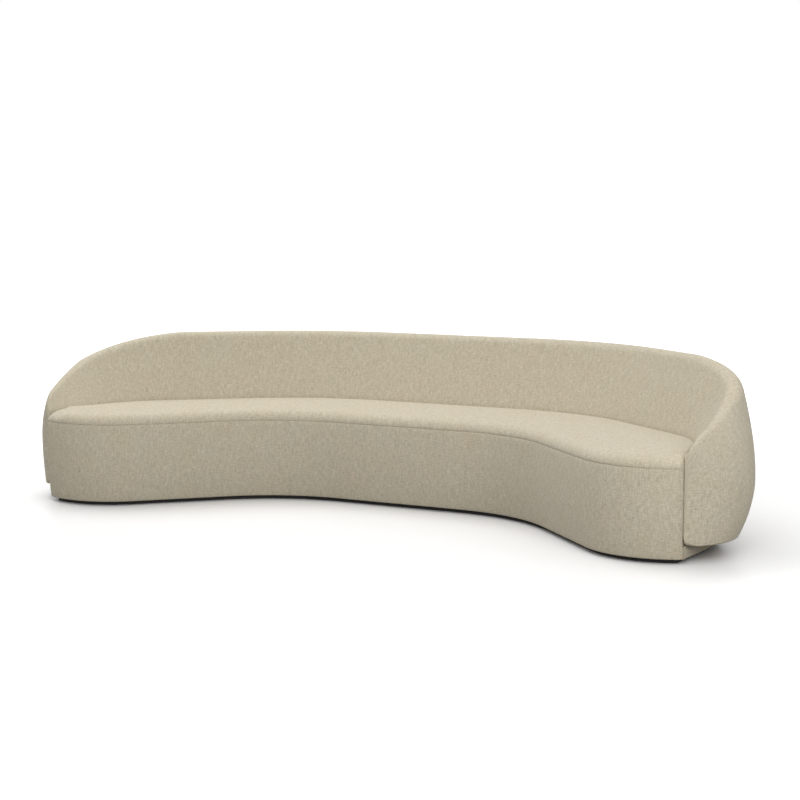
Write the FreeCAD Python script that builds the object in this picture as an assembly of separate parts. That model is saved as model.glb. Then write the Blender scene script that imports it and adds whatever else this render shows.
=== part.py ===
"""Curved sofa: an upholstered seat platform and a wrap-round back that slopes down into two arms.

Everything is placed from two plan lines. The front line is the bottom edge of the seat's front.
The back line is where the seat meets the back, and it runs forward along each arm to the corner.
Millimetres, +Z up, +X to the sitter's left, the seat's front towards -Y.
"""
import FreeCAD
import Part
import math
import os

from FreeCAD import Vector

# Plan of the seat's front line, from the middle to the lobe that ends at one corner
FRONT_FLAT = 331.0
HOLLOW_RADIUS = 700.0
HOLLOW_TURN = 44.6
LOBE_RADIUS = 375.0
CORNER_INSET = 4.0
CORNER_REACH = 8.5

# Plan of the back line, from the middle to the front end of one arm
SEAT_DEPTH = 529.0
BACK_FLAT = 396.0
BACK_RADIUS = 967.0
BACK_TURN = 39.4
BACK_WING = 449.0
ARM_RADIUS = 490.0
ARM_TURN = 38.6
ARM_STRAIGHT = 334.0

# Seat heights and front face
PLINTH_HEIGHT = 20.0
SEAT_HEIGHT = 438.0
SEAM_DROP = 49.0
SEAM_HEIGHT = SEAT_HEIGHT - SEAM_DROP
SEAT_CROWN = 9.0
EDGE_RADIUS = 52.0
SEAM_OVERHANG = 18.0
BULGE_RISE = 13.0
CORNER_RADIUS = 25.0

# Outer form of the back and arms
BACK_HEIGHT = 770.0
ARM_FRONT_HEIGHT = 418.0
ARM_NOSE_RISE = 75.0
ARM_NOSE_LENGTH = 75.0
ARM_SLOPE_LENGTH = 800.0
ARM_SLOPE_EASE = 1.15
ARM_WIDTH = 252.0
BACK_WIDTH = 232.0
ARM_END_WIDTH = 22.0
ARM_SWELL_LENGTH = 282.0
BACK_BLEND_LENGTH = 850.0
RIDGE_OFFSET = 160.0
RIDGE_END_OFFSET = 10.5
RIDGE_SWELL_LENGTH = 500.0
RIDGE_RADIUS = 45.0
RIDGE_END_RADIUS = 8.5
RIDGE_END_RISE = 2.0
BELLY_HEIGHT = 301.0
SHELL_BOTTOM = 74.0
SHELL_TUCK = 74.0
SHELL_END_TUCK = 13.0
TUCK_LENGTH = 350.0
HEM_RADIUS = 18.0
HEM_END_RADIUS = 5.0

# Base under the back and arms
BASE_FLARE = 0.3
BASE_MARGIN = 125.0
PLINTH_INSET = 35.0
PLINTH_WIDTH = 60.0

# Materials
FABRIC = 2.5
BOARD = 18.0
SKIN_BOARD = 3.0
WEBBING = 2.0
WEBBING_WIDTH = 50.0
WEBBING_PITCH = 112.0
FABRIC_TUCK = 120.0
FABRIC_LIP = 25.0
FOAM_TUCK = 60.0
WEBBING_END = 30.0
CLEARANCE = 0.3
SEAT_GAP = 0.6

# Timber frame
BOARD_BOTTOM = PLINTH_HEIGHT + FABRIC
PLATE_BOTTOM = SHELL_BOTTOM + FABRIC
PLATE_SETBACK = 3.0
RIM_WIDTH = 45.0
FRONT_RAIL_INSET = 17.0
REAR_RAIL_INSET = 12.0
SEAT_FOAM_DEPTH = 100.0
SEAT_FRAME_TOP = SEAT_HEIGHT - SEAT_FOAM_DEPTH
FRAME_RIDGE_RADIUS = 10.0
ARM_POST_WIDTH = 36.0
WEBBING_SKIPPED_STATIONS = 6
TOP_RAIL_DEPTH = 62.0
MID_RAIL_HEIGHT = 70.0
MID_RAIL_DROP = 13.0
MID_RAIL_TOP = SEAT_HEIGHT - MID_RAIL_DROP
RIB_SHOULDER = 40.0
RIB_DIP = 60.0
SEAT_LAST_RIB = 0.78
SEAT_LAST_STRAP = 0.75
BACK_RIB_STATIONS = (4, 6, 8, 9, 11, 12)
SEAT_RIBS_PER_SIDE = 4

# How closely the curved pieces are sectioned
NOSE_STATIONS = 5
ARM_END_STATIONS = 1
ARM_BEND_STATIONS = 3
BACK_WING_STATIONS = 1
BACK_BEND_STATIONS = 3
SEAT_END_STATIONS = 2
SEAT_END_LENGTH = 150.0


def save(name, shape):
    """Writes one named piece."""
    shape.exportStep("parts/" + name + ".step")
    print(name, len(shape.Solids), "solids", shape.isValid(), round(shape.Volume / 1000.0, 1), "cm3")


def bend(radius, degrees):
    """A curved stretch of a plan line as its length and its turn."""
    turn = math.radians(degrees)
    return radius * abs(turn), turn


BACK_PIECES = [
    (BACK_FLAT, 0.0),
    bend(BACK_RADIUS, -BACK_TURN),
    (BACK_WING, 0.0),
    bend(ARM_RADIUS, -ARM_TURN),
    (ARM_STRAIGHT, 0.0),
]


def travel(pieces, distance):
    """Place and heading after a distance along a plan line that leaves the middle along +X."""
    x = 0.0
    y = 0.0
    heading = 0.0
    left = distance
    for length, turn in pieces:
        step = min(left, length)
        if step <= 0.0:
            break
        angle = turn * step / length
        if turn:
            radius = length / turn
            x += radius * (math.sin(heading + angle) - math.sin(heading))
            y -= radius * (math.cos(heading + angle) - math.cos(heading))
        else:
            x += step * math.cos(heading)
            y += step * math.sin(heading)
        heading += angle
        left -= step
    return x, y, heading


def wing_and_lobe(start):
    """The straight wing and the end lobe that bring the front line to the arm's front end."""
    x, y, heading = travel(start, math.inf)
    end_x, end_y, end_heading = travel(BACK_PIECES, math.inf)
    end_x += CORNER_REACH * math.cos(end_heading) + CORNER_INSET * math.sin(end_heading)
    end_y += CORNER_REACH * math.sin(end_heading) - CORNER_INSET * math.cos(end_heading)
    across = x - LOBE_RADIUS * math.sin(heading) - end_x
    along = y + LOBE_RADIUS * math.cos(heading) - SEAT_DEPTH - end_y
    half = across * math.cos(heading) + along * math.sin(heading)
    wing = -half - math.sqrt(half ** 2 - across ** 2 - along ** 2 + LOBE_RADIUS ** 2)
    centre_x = across + wing * math.cos(heading)
    centre_y = along + wing * math.sin(heading)
    turn = math.atan2(-centre_y, -centre_x) + math.pi / 2.0 - heading
    return [(wing, 0.0), (LOBE_RADIUS * turn, turn)]


FRONT_PIECES = [(FRONT_FLAT, 0.0), bend(HOLLOW_RADIUS, -HOLLOW_TURN)]
FRONT_PIECES += wing_and_lobe(FRONT_PIECES)
FRONT_LENGTH = sum(piece[0] for piece in FRONT_PIECES)
BACK_LENGTH = sum(piece[0] for piece in BACK_PIECES)


# The origin lies under the middle of the outer form
LOBE_REST = LOBE_RADIUS * travel(FRONT_PIECES, FRONT_LENGTH)[2]
LOBE_FRONT = travel(FRONT_PIECES, FRONT_LENGTH - LOBE_REST)[1]
FRONT_BULGE = BULGE_RISE * (1.0 + SEAM_OVERHANG / BULGE_RISE / 4.0) ** 2
BACK_Y = (SEAT_DEPTH - LOBE_FRONT + FRONT_BULGE - BACK_WIDTH) / 2.0
FRONT_Y = BACK_Y - SEAT_DEPTH


def front_line(side, distance):
    """A point of the front line and its unit normal away from the seat."""
    x, y, heading = travel(FRONT_PIECES, distance)
    normal = Vector(side * math.sin(heading), -math.cos(heading), 0.0)
    return Vector(side * x, FRONT_Y + y, 0.0), normal


def back_line(side, distance):
    """A point of the back line and its unit normal away from the seat."""
    x, y, heading = travel(BACK_PIECES, distance)
    normal = Vector(-side * math.sin(heading), math.cos(heading), 0.0)
    return Vector(side * x, BACK_Y + y, 0.0), normal


def raised(point, height):
    """A plan point lifted to a height."""
    return Vector(point.x, point.y, height)


def line(start, end):
    """A straight edge."""
    return Part.LineSegment(start, end).toShape()


def arc(start, middle, end):
    """A circular edge through three points."""
    return Part.Arc(start, middle, end).toShape()


def nose(share, power):
    """Grows from 0 at a rounded end to 1 where the share reaches 1."""
    inner = 1.0 - min(max(share, 0.0), 1.0)
    return (1.0 - inner * inner) ** power


def ease(share):
    """Blends smoothly from 0 to 1."""
    inner = min(max(share, 0.0), 1.0)
    return inner * inner * (3.0 - 2.0 * inner)


class BackSection:
    """The upright section of the back or arm at one distance from the arm's front end.

    Offsets run outwards from the back line. The inner face stands upright below the seat and
    leans back above it, the top is a round ridge, and two arcs make the belly and its tuck.
    """

    def __init__(self, from_end):
        swell = nose(from_end / ARM_SWELL_LENGTH, 0.75)
        ridge_swell = nose(from_end / RIDGE_SWELL_LENGTH, 0.75)
        blend = ease((from_end - ARM_SWELL_LENGTH) / (BACK_BLEND_LENGTH - ARM_SWELL_LENGTH))
        slope = math.sin(math.pi / 2.0 * min(from_end / ARM_SLOPE_LENGTH, 1.0)) ** ARM_SLOPE_EASE
        rise = ARM_NOSE_RISE * nose(from_end / ARM_NOSE_LENGTH, 0.5)
        rest = (BACK_HEIGHT - ARM_FRONT_HEIGHT - ARM_NOSE_RISE) * slope
        self.width = ARM_END_WIDTH + (ARM_WIDTH - ARM_END_WIDTH) * swell - (ARM_WIDTH - BACK_WIDTH) * blend
        self.ridge_radius = RIDGE_END_RADIUS + (RIDGE_RADIUS - RIDGE_END_RADIUS) * ridge_swell
        self.ridge_o = RIDGE_END_OFFSET + (RIDGE_OFFSET - RIDGE_END_OFFSET) * ridge_swell
        self.ridge_z = ARM_FRONT_HEIGHT + rise + rest - self.ridge_radius
        self.hem_radius = HEM_END_RADIUS + (HEM_RADIUS - HEM_END_RADIUS) * ridge_swell
        self.lean_z = min(SEAT_HEIGHT, self.ridge_z - RIDGE_END_RISE)
        # Outer arc: upright at the belly and tangent to the ridge
        across = self.width - self.ridge_o
        above = self.ridge_z - BELLY_HEIGHT
        self.outer_radius = (across ** 2 + above ** 2 - self.ridge_radius ** 2) / (
            2.0 * (across - self.ridge_radius))
        self.outer_o = self.width - self.outer_radius
        # Lower arc: upright at the belly and tucked in at the bottom
        tuck = SHELL_END_TUCK + (SHELL_TUCK - SHELL_END_TUCK) * min(from_end / TUCK_LENGTH, 1.0)
        below = BELLY_HEIGHT - SHELL_BOTTOM
        self.lower_radius = (below ** 2 + tuck ** 2) / (2.0 * tuck)
        self.lower_o = self.width - self.lower_radius
        self.hem_o = self.lower_o + math.sqrt(
            (self.lower_radius - self.hem_radius) ** 2 - (below - self.hem_radius) ** 2)
        # Lean of the inner face, tangent to the ridge
        reach = math.hypot(self.ridge_o, self.ridge_z - self.lean_z)
        self.lean = math.atan2(self.ridge_z - self.lean_z, self.ridge_o) + math.asin(self.ridge_radius / reach)

    def lean_start(self, inset):
        """Where the upright inner face turns into the leaning one."""
        return inset, self.lean_z - inset * (1.0 - math.sin(self.lean)) / math.cos(self.lean)

    def lean_at(self, inset, height):
        """A point of the inner face at a height."""
        start = self.lean_start(inset)
        if height <= start[1]:
            return inset, height
        return inset + (height - start[1]) / math.tan(self.lean), height

    def on_ridge(self, inset, angle):
        """A point of the ridge at an angle from straight outwards."""
        radius = self.ridge_radius - inset
        return self.ridge_o + radius * math.cos(angle), self.ridge_z + radius * math.sin(angle)

    def ridge_points(self, inset):
        """Start, middle and end of the ridge's arc, from the inner face to the outer one."""
        inner = self.lean + math.pi / 2.0
        outer = math.atan2(self.ridge_z - BELLY_HEIGHT, self.ridge_o - self.outer_o)
        return [self.on_ridge(inset, angle) for angle in (inner, (inner + outer) / 2.0, outer)]

    def on_outer(self, inset, height):
        """A point of the outer face above the belly, at a height."""
        radius = self.outer_radius - inset
        return self.outer_o + math.sqrt(radius ** 2 - (height - BELLY_HEIGHT) ** 2), height

    def on_lower(self, inset, height):
        """A point of the outer face below the belly, at a height."""
        radius = self.lower_radius - inset
        return self.lower_o + math.sqrt(radius ** 2 - (height - BELLY_HEIGHT) ** 2), height

    def belly(self, inset):
        """The widest point."""
        return self.width - inset, BELLY_HEIGHT

    def hem_points(self, inset):
        """Start, middle and end of the bottom edge's arc."""
        centre_z = SHELL_BOTTOM + self.hem_radius
        start = math.atan2(centre_z - BELLY_HEIGHT, self.hem_o - self.lower_o)
        end = -math.pi / 2.0
        radius = self.hem_radius - inset
        points = []
        for angle in (start, (start + end) / 2.0, end):
            points.append((self.hem_o + radius * math.cos(angle), centre_z + radius * math.sin(angle)))
        return points

    def frame_inset(self):
        """Depth of the frame's outer skin, where the ridge is left with the frame's own radius."""
        return self.ridge_radius - FRAME_RIDGE_RADIUS


def back_wire(side, distance, segments):
    """A closed section wire on the back line, from straight and curved segments in offset and height."""
    point, normal = back_line(side, distance)
    edges = []
    for segment in segments:
        corners = [raised(point + normal * o, z) for o, z in segment]
        if len(corners) == 3:
            edges.append(arc(*corners))
        else:
            edges.append(line(*corners))
    return Part.Wire(edges)


def straight_on(segments, *points):
    """Adds straight segments from the outline's last point through the given points."""
    last = segments[-1][-1]
    for point in points:
        segments.append([last, point])
        last = point
    return segments


def cover_outline(section, inset):
    """The fabric's face at an inset, from the tuck behind the seat to the hem under the bottom."""
    start = section.lean_start(inset)
    ridge = section.ridge_points(inset)
    hem = section.hem_points(inset)
    belly = section.belly(inset)
    half_up = (ridge[2][1] + BELLY_HEIGHT) / 2.0
    half_down = (hem[0][1] + BELLY_HEIGHT) / 2.0
    tuck = (inset, section.lean_z - FABRIC_TUCK)
    return [
        [tuck, start],
        [start, ridge[0]],
        ridge,
        [ridge[2], section.on_outer(inset, half_up), belly],
        [belly, section.on_lower(inset, half_down), hem[0]],
        hem,
    ]


def padding_bottom():
    """Height of the padding's lower edge."""
    return SHELL_BOTTOM + HEM_RADIUS + CLEARANCE


def cover_segments(from_end):
    """Section of the back's fabric: its outer face, the hem's lip and its inner face."""
    section = BackSection(from_end)
    outer = cover_outline(section, 0.0)
    low = SHELL_BOTTOM + FABRIC
    inner = chords(section, FABRIC, padding_bottom(), True)
    turn = (section.hem_points(FABRIC)[2][0], low)
    lip = turn[0] - max(min(FABRIC_LIP, turn[0] - 2.0 * FABRIC), 0.5)
    straight_on(outer, (lip, SHELL_BOTTOM), (lip, low), turn)
    straight_on(outer, *reversed(inner))
    return straight_on(outer, (FABRIC, outer[0][0][1]), outer[0][0])


def chords(section, inset, bottom, fine):
    """Points of a face cut in straight steps, from where it starts to lean down to a height."""
    ridge = section.ridge_points(inset)
    points = [section.lean_start(inset), ridge[0]]
    if fine:
        points.append(ridge[1])
    points.append(ridge[2])
    points.append(section.belly(inset))
    if fine:
        points.append(section.on_lower(inset, (BELLY_HEIGHT + bottom) / 2.0))
    points.append(section.on_lower(inset, bottom))
    return points


def closed(points):
    """Straight segments round a closed outline."""
    return [[points[i], points[(i + 1) % len(points)]] for i in range(len(points))]


def foam_segments(from_end):
    """Section of the back's padding, between the fabric and the frame."""
    section = BackSection(from_end)
    outside = FABRIC + CLEARANCE
    inside = section.frame_inset() - CLEARANCE
    foot = section.lean_z - FOAM_TUCK
    outer = [(outside, foot)] + chords(section, outside, padding_bottom(), True)
    inner = [(inside, foot)] + chords(section, inside, padding_bottom(), False)
    return closed(outer + list(reversed(inner)))


def rail_ends(section, drop):
    """Points of the inner and the outer face at a distance below the frame's ridge."""
    inset = rail_face_inset(section)
    ridge = section.ridge_points(inset)[2]
    belly = section.belly(inset)
    share = drop / (ridge[1] - BELLY_HEIGHT)
    height = ridge[1] - drop
    return section.lean_at(inset, height), (ridge[0] + (belly[0] - ridge[0]) * share, height)


def top_rail_segments(from_end):
    """Section of the rail that makes the frame's ridge."""
    section = BackSection(from_end)
    ridge = section.ridge_points(rail_face_inset(section))
    inner, outer = rail_ends(section, TOP_RAIL_DEPTH)
    return closed([inner, ridge[0], ridge[2], outer])


def skin_board_segments(from_end):
    """Section of the thin board on the outside of the frame."""
    section = BackSection(from_end)
    outer = chords(section, section.frame_inset(), padding_bottom(), False)[2:]
    inner = chords(section, section.frame_inset() + SKIN_BOARD, padding_bottom(), False)[2:]
    return closed(outer + list(reversed(inner)))


def block_segments(inner, outer, bottom, top):
    """A rectangular section."""
    return closed([(inner, bottom), (outer, bottom), (outer, top), (inner, top)])


def steps(start, length, count):
    """Equal steps along a stretch, without its start."""
    return [start + length * k / count for k in range(1, count + 1)]


def back_stations(first):
    """Distances from the arm's front end, close together in the arm's nose and in the bends."""
    places = [ARM_STRAIGHT * (k / NOSE_STATIONS) ** 1.6 for k in range(NOSE_STATIONS + 1)]
    places += steps(ARM_STRAIGHT, BACK_PIECES[3][0], ARM_BEND_STATIONS)
    wing_start = ARM_STRAIGHT + BACK_PIECES[3][0]
    places += steps(wing_start, BACK_WING, BACK_WING_STATIONS)
    places += steps(wing_start + BACK_WING, BACK_PIECES[1][0], BACK_BEND_STATIONS)
    return places[first:]


def back_loft(segments_at, first):
    """A piece that runs round the whole back from a station near one arm's end to the other's."""
    wires = []
    places = back_stations(first)
    for from_end in places:
        wires.append(back_wire(-1, BACK_LENGTH - from_end, segments_at(from_end)))
    for from_end in reversed(places):
        wires.append(back_wire(1, BACK_LENGTH - from_end, segments_at(from_end)))
    return Part.makeLoft(wires, True, True)


def end_board(side, segments, thickness):
    """A flat board on the arm's front end, its thickness running back from it."""
    normal = back_line(side, BACK_LENGTH)[1]
    backwards = Vector(-side * normal.y, side * normal.x, 0.0)
    return Part.Face(back_wire(side, BACK_LENGTH, segments)).extrude(backwards * thickness)


def base_edge(from_end):
    """Offset of the base's edge from the back line."""
    return min(BASE_MARGIN, BASE_FLARE * from_end)


def rail_face_inset(section):
    """Inset of the timber frame's faces."""
    return section.frame_inset() + SKIN_BOARD + CLEARANCE


def mid_rail_segments(from_end):
    """Section of the rail behind the seat's back edge."""
    inner = rail_face_inset(BackSection(from_end))
    return block_segments(inner, inner + BOARD, MID_RAIL_TOP - MID_RAIL_HEIGHT, MID_RAIL_TOP)


def bottom_plate_segments(from_end):
    """Section of the plate that the back frame stands on."""
    section = BackSection(from_end)
    top = PLATE_BOTTOM + BOARD
    outer = section.on_lower(rail_face_inset(section), PLATE_BOTTOM)[0]
    return block_segments(PLATE_SETBACK, outer, PLATE_BOTTOM, top)


def base_rim_segments(from_end):
    """Section of the rim that fills the height between the base board and the back frame."""
    outer = base_edge(from_end) - FABRIC - CLEARANCE
    inner = max(outer - RIM_WIDTH, PLATE_SETBACK)
    return block_segments(inner, outer, BOARD_BOTTOM + BOARD, PLATE_BOTTOM)


def base_band_segments(from_end):
    """Section of the fabric on the base's ends and back."""
    inner = max(base_edge(from_end) - FABRIC, CLEARANCE)
    return block_segments(inner, inner + FABRIC, PLINTH_HEIGHT, SHELL_BOTTOM - CLEARANCE)


def rear_rail_segments(from_end):
    """Section of the curved rear rail of the seat, on the seat's side of the back line."""
    outer = -SEAT_GAP - REAR_RAIL_INSET
    return block_segments(outer - BOARD, outer, BOARD_BOTTOM + BOARD, SEAT_FRAME_TOP)


def slice_wire(side, from_end, outline_at):
    """An outline on the straight bay between two stations, blended from the outlines at both."""
    places = back_stations(0) + [BACK_LENGTH]
    bay = max(k for k in range(len(places) - 1) if places[k] <= from_end)
    share = (from_end - places[bay]) / (places[bay + 1] - places[bay])
    near, far = places[bay], places[bay + 1]
    near_point, near_normal = back_line(side, BACK_LENGTH - near)
    far_point, far_normal = back_line(side, BACK_LENGTH - far)
    point = near_point + (far_point - near_point) * share
    normal = near_normal + (far_normal - near_normal) * share
    corners = []
    for (o, z), (far_o, far_z) in zip(outline_at(near), outline_at(far)):
        corners.append(raised(point + normal * (o + (far_o - o) * share), z + (far_z - z) * share))
    return Part.makePolygon(corners + [corners[0]])


def back_slice(side, from_end, width, outline_at):
    """A board or strap across the back's frame, its edges following the frame's faces."""
    near = slice_wire(side, from_end, outline_at)
    far = slice_wire(side, from_end + width - 0.001, outline_at)
    return Part.makeLoft([near, far], True, True)


def post_outline(from_end):
    """Outline of the shaped block at the arm's front."""
    section = BackSection(from_end)
    inset = rail_face_inset(section)
    return [(inset, PLATE_BOTTOM)] + chords(section, inset, PLATE_BOTTOM, False)


def rib_outline(from_end):
    """Outline of a back rib, standing on the bottom plate, notched for the mid rail, under the top rail."""
    section = BackSection(from_end)
    inset = rail_face_inset(section)
    bottom = PLATE_BOTTOM + BOARD
    notch = inset + BOARD + CLEARANCE
    low = MID_RAIL_TOP - MID_RAIL_HEIGHT - CLEARANCE
    high = MID_RAIL_TOP + CLEARANCE
    inner, outer = rail_ends(section, TOP_RAIL_DEPTH + CLEARANCE)
    points = [(inset, bottom), (inset, low), (notch, low), (notch, high), (inset, high)]
    points += [section.lean_start(inset), inner, outer, section.belly(inset)]
    return points + [section.on_lower(inset, bottom)]


def strap_outline(from_end):
    """Outline of a back strap on the inner face, from the mid rail to the top rail."""
    section = BackSection(from_end)
    near = section.frame_inset() + CLEARANCE
    far = near + WEBBING
    low = MID_RAIL_TOP - MID_RAIL_HEIGHT + WEBBING_END
    high = rail_ends(section, TOP_RAIL_DEPTH)[0][1] + WEBBING_END
    points = [section.lean_at(near, high), section.lean_start(near), (near, low)]
    return points + [(far, low), section.lean_start(far), section.lean_at(far, high)]


def back_ribs():
    """The upright ribs of the back frame, from the right arm to the left one."""
    places = back_stations(0)
    right = [back_slice(-1, places[k], BOARD, rib_outline) for k in BACK_RIB_STATIONS]
    left = [back_slice(1, places[k], BOARD, rib_outline) for k in reversed(BACK_RIB_STATIONS)]
    sides = [slice_wire(side, BACK_LENGTH - BOARD / 2.0, rib_outline) for side in (-1, 1)]
    return right + [Part.makeLoft(sides, True, True)] + left


def back_straps():
    """The webbing up the inner face, evenly spaced in each bay between stations."""
    straps = []
    places = back_stations(WEBBING_SKIPPED_STATIONS) + [BACK_LENGTH]
    for start, end in zip(places, places[1:]):
        count = max(int((end - start) / WEBBING_PITCH), 1)
        for k in range(count):
            from_end = start + (end - start) * (k + 0.5) / count - WEBBING_WIDTH / 2.0
            straps += [back_slice(side, from_end, WEBBING_WIDTH, strap_outline) for side in (-1, 1)]
    return straps


def arm_end_foam(side):
    """The pad in front of the arm's post."""
    section = BackSection(0.0)
    inset = FABRIC + CLEARANCE
    bottom = SHELL_BOTTOM + section.hem_radius
    segments = closed([(inset, bottom)] + chords(section, inset, bottom, True))
    depth = back_stations(ARM_END_STATIONS)[0] - CLEARANCE
    return end_board(side, segments, depth)


def arm_front_panel(side):
    """The narrow fabric panel that closes the arm's front end."""
    outline = cover_outline(BackSection(0.0), 0.0)
    foot = (0.0, SHELL_BOTTOM)
    outline.append([outline[-1][-1], foot])
    outline.append([foot, outline[0][0]])
    return end_board(side, outline, -FABRIC)


# Seat sections run from the front line to the back line
def seat_stations(end_setback):
    """Pairs of distances along the front line and the back line, from the middle to near a corner."""
    pairs = []
    front = FRONT_FLAT
    back = BACK_FLAT
    end_run = ARM_STRAIGHT - SEAT_END_LENGTH
    lobe_share = BACK_PIECES[3][0] / (BACK_PIECES[3][0] + end_run)
    lobe = FRONT_PIECES[3][0]
    stretches = [
        (FRONT_PIECES[1][0], BACK_PIECES[1][0], BACK_BEND_STATIONS),
        (FRONT_PIECES[2][0], BACK_WING, BACK_WING_STATIONS),
        (lobe * lobe_share, BACK_PIECES[3][0], ARM_BEND_STATIONS),
        (lobe * (1.0 - lobe_share), end_run, SEAT_END_STATIONS),
    ]
    for front_run, back_run, count in stretches:
        for k in range(count):
            pairs.append((front + front_run * k / count, back + back_run * k / count))
        front += front_run
        back += back_run
    pairs.append((front - CORNER_RADIUS, back - CORNER_RADIUS * 0.5))
    pairs.append((front - CORNER_RADIUS * 0.35, back - CORNER_RADIUS * 0.2))
    last = front - end_setback
    return [pair for pair in pairs if pair[0] < last - 1.0] + [(last, back)]


class SeatSection:
    """The upright section of the seat between one point of each plan line.

    Depths run from the front line towards the back. The front leans out to a bulge and a seam,
    rolls over into the crowned top, and the back edge stands against the inner face of the back.
    """

    def __init__(self, side, front_distance, back_distance):
        front, outward = front_line(side, front_distance)
        rear, away = back_line(side, back_distance)
        rear = rear - away * SEAT_GAP
        self.front = front
        self.depth = (rear - front).Length
        self.along = (rear - front).normalize()
        self.front_skew = max(-self.along.dot(outward), 0.5)
        self.back_skew = max(self.along.dot(away), 0.5)
        remaining = CORNER_RADIUS - min(FRONT_LENGTH - front_distance, CORNER_RADIUS)
        self.corner = CORNER_RADIUS - math.sqrt(CORNER_RADIUS ** 2 - remaining ** 2)

    def at(self, depth, height):
        """A point of the section in space."""
        return raised(self.front + self.along * depth, height)

    def from_front(self, inset):
        """Depth of a face at an inset from the front line."""
        return (inset + self.corner) / self.front_skew

    def from_back(self, inset):
        """Depth of a face at an inset from the back edge."""
        return self.depth - inset / self.back_skew

    def front_face(self, inset, bottom, top):
        """The leaning front between two heights, as one arc."""
        span = SEAM_HEIGHT - PLINTH_HEIGHT
        points = []
        for height in (bottom, (bottom + top) / 2.0, top):
            share = (height - PLINTH_HEIGHT) / span
            lean = SEAM_OVERHANG * share + 4.0 * BULGE_RISE * share * (1.0 - share)
            points.append(self.at(self.from_front(inset - lean), height))
        return points

    def edge_roll(self, inset):
        """The rolled front edge above the seam."""
        centre = EDGE_RADIUS - SEAM_OVERHANG
        radius = EDGE_RADIUS - inset
        points = []
        for angle in (math.pi, 0.75 * math.pi, 0.5 * math.pi):
            depth = self.from_front(centre + radius * math.cos(angle))
            points.append(self.at(depth, SEAM_HEIGHT + radius * math.sin(angle)))
        return points

    def block(self, start, end, bottom, top):
        """Edges of a rectangle between two depths and two heights."""
        corners = [self.at(start, bottom), self.at(end, bottom), self.at(end, top), self.at(start, top)]
        return [line(corners[i], corners[(i + 1) % 4]) for i in range(4)]

    def top(self, inset, back_inset):
        """Start, middle and end of the crowned top, from the rolled edge to the back edge."""
        start = self.edge_roll(inset)[2]
        end = self.at(self.from_back(back_inset), SEAT_HEIGHT - inset)
        middle = (start + end) * 0.5
        middle.z += SEAT_CROWN
        return [start, middle, end]


def seat_loft(edges_at, end_setback):
    """A piece that runs across the whole seat."""
    wires = []
    pairs = seat_stations(end_setback)
    for f, b in reversed(pairs):
        wires.append(Part.Wire(edges_at(SeatSection(-1, f, b))))
    for f, b in pairs:
        wires.append(Part.Wire(edges_at(SeatSection(1, f, b))))
    return Part.makeLoft(wires, True, True)


def seat_cover_edges(section):
    """Fabric of the seat's top, from the seam to the tuck behind the seat."""
    top = section.top(0.0, 0.0)
    under = section.top(FABRIC, FABRIC)
    roll = section.edge_roll(0.0)
    under_roll = section.edge_roll(FABRIC)
    tuck = SEAT_HEIGHT - FABRIC_TUCK
    outer_foot = section.at(section.from_back(0.0), tuck)
    inner_foot = section.at(section.from_back(FABRIC), tuck)
    return [
        arc(*roll),
        arc(*top),
        line(top[2], outer_foot),
        line(outer_foot, inner_foot),
        line(inner_foot, under[2]),
        line(under[2], under[1]),
        line(under[1], under[0]),
        line(under_roll[2], under_roll[1]),
        line(under_roll[1], under_roll[0]),
        line(under_roll[0], roll[0]),
    ]


def front_cover_edges(section):
    """Fabric of the seat's front, from the seam to the lip under the base."""
    seam = SEAM_HEIGHT - CLEARANCE
    face = section.front_face(0.0, PLINTH_HEIGHT, seam)
    back_face = section.front_face(FABRIC, PLINTH_HEIGHT + FABRIC, seam)
    lip = section.from_front(FABRIC_LIP)
    lip_low = section.at(lip, PLINTH_HEIGHT)
    lip_high = section.at(lip, PLINTH_HEIGHT + FABRIC)
    return [
        arc(*face),
        line(face[2], back_face[2]),
        arc(back_face[2], back_face[1], back_face[0]),
        line(back_face[0], lip_high),
        line(lip_high, lip_low),
        line(lip_low, face[0]),
    ]


def front_foam_edges(section):
    """Padding between the front's fabric and the front rail."""
    face = section.front_face(FABRIC + CLEARANCE, BOARD_BOTTOM + CLEARANCE, SEAT_FRAME_TOP)
    depth = section.from_front(FRONT_RAIL_INSET - CLEARANCE)
    back_low = section.at(depth, face[0].z)
    back_high = section.at(depth, face[2].z)
    return [arc(*face), line(face[2], back_high), line(back_high, back_low), line(back_low, face[0])]


def seat_foam_edges(section):
    """The seat's foam on its webbing, crowned and rolled at the front."""
    inset = FABRIC + CLEARANCE
    bottom = SEAT_FRAME_TOP + WEBBING + CLEARANCE
    face = section.front_face(inset, bottom, SEAM_HEIGHT)
    roll = section.edge_roll(inset)
    top = section.top(inset, inset)
    back_low = section.at(section.from_back(inset), bottom)
    return [
        line(face[0], face[2]),
        line(face[2], roll[1]),
        line(roll[1], roll[2]),
        line(top[0], top[1]),
        line(top[1], top[2]),
        line(top[2], back_low),
        line(back_low, face[0]),
    ]


def front_rail_edges(section):
    """The curved front rail on the base board."""
    near = section.from_front(FRONT_RAIL_INSET)
    far = section.from_front(FRONT_RAIL_INSET + BOARD)
    return section.block(near, far, BOARD_BOTTOM + BOARD, SEAT_FRAME_TOP)


def seat_pair(share):
    """Matching distances along the two plan lines, at a share of the front line."""
    front_runs = [piece[0] for piece in FRONT_PIECES]
    back_runs = [piece[0] for piece in BACK_PIECES[:3]]
    back_runs.append(BACK_PIECES[3][0] + ARM_STRAIGHT - SEAT_END_LENGTH)
    left = FRONT_LENGTH * share
    back = 0.0
    for front_run, back_run in zip(front_runs, back_runs):
        step = min(left, front_run)
        back += back_run * step / front_run
        left -= step
    return FRONT_LENGTH * share, back


def across(section, edges, width):
    """A piece of a given width, centred on a seat section."""
    sideways = Vector(-section.along.y, section.along.x, 0.0)
    face = Part.Face(Part.Wire(edges))
    face.translate(sideways * (-width / 2.0))
    return face.extrude(sideways * width)


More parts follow.
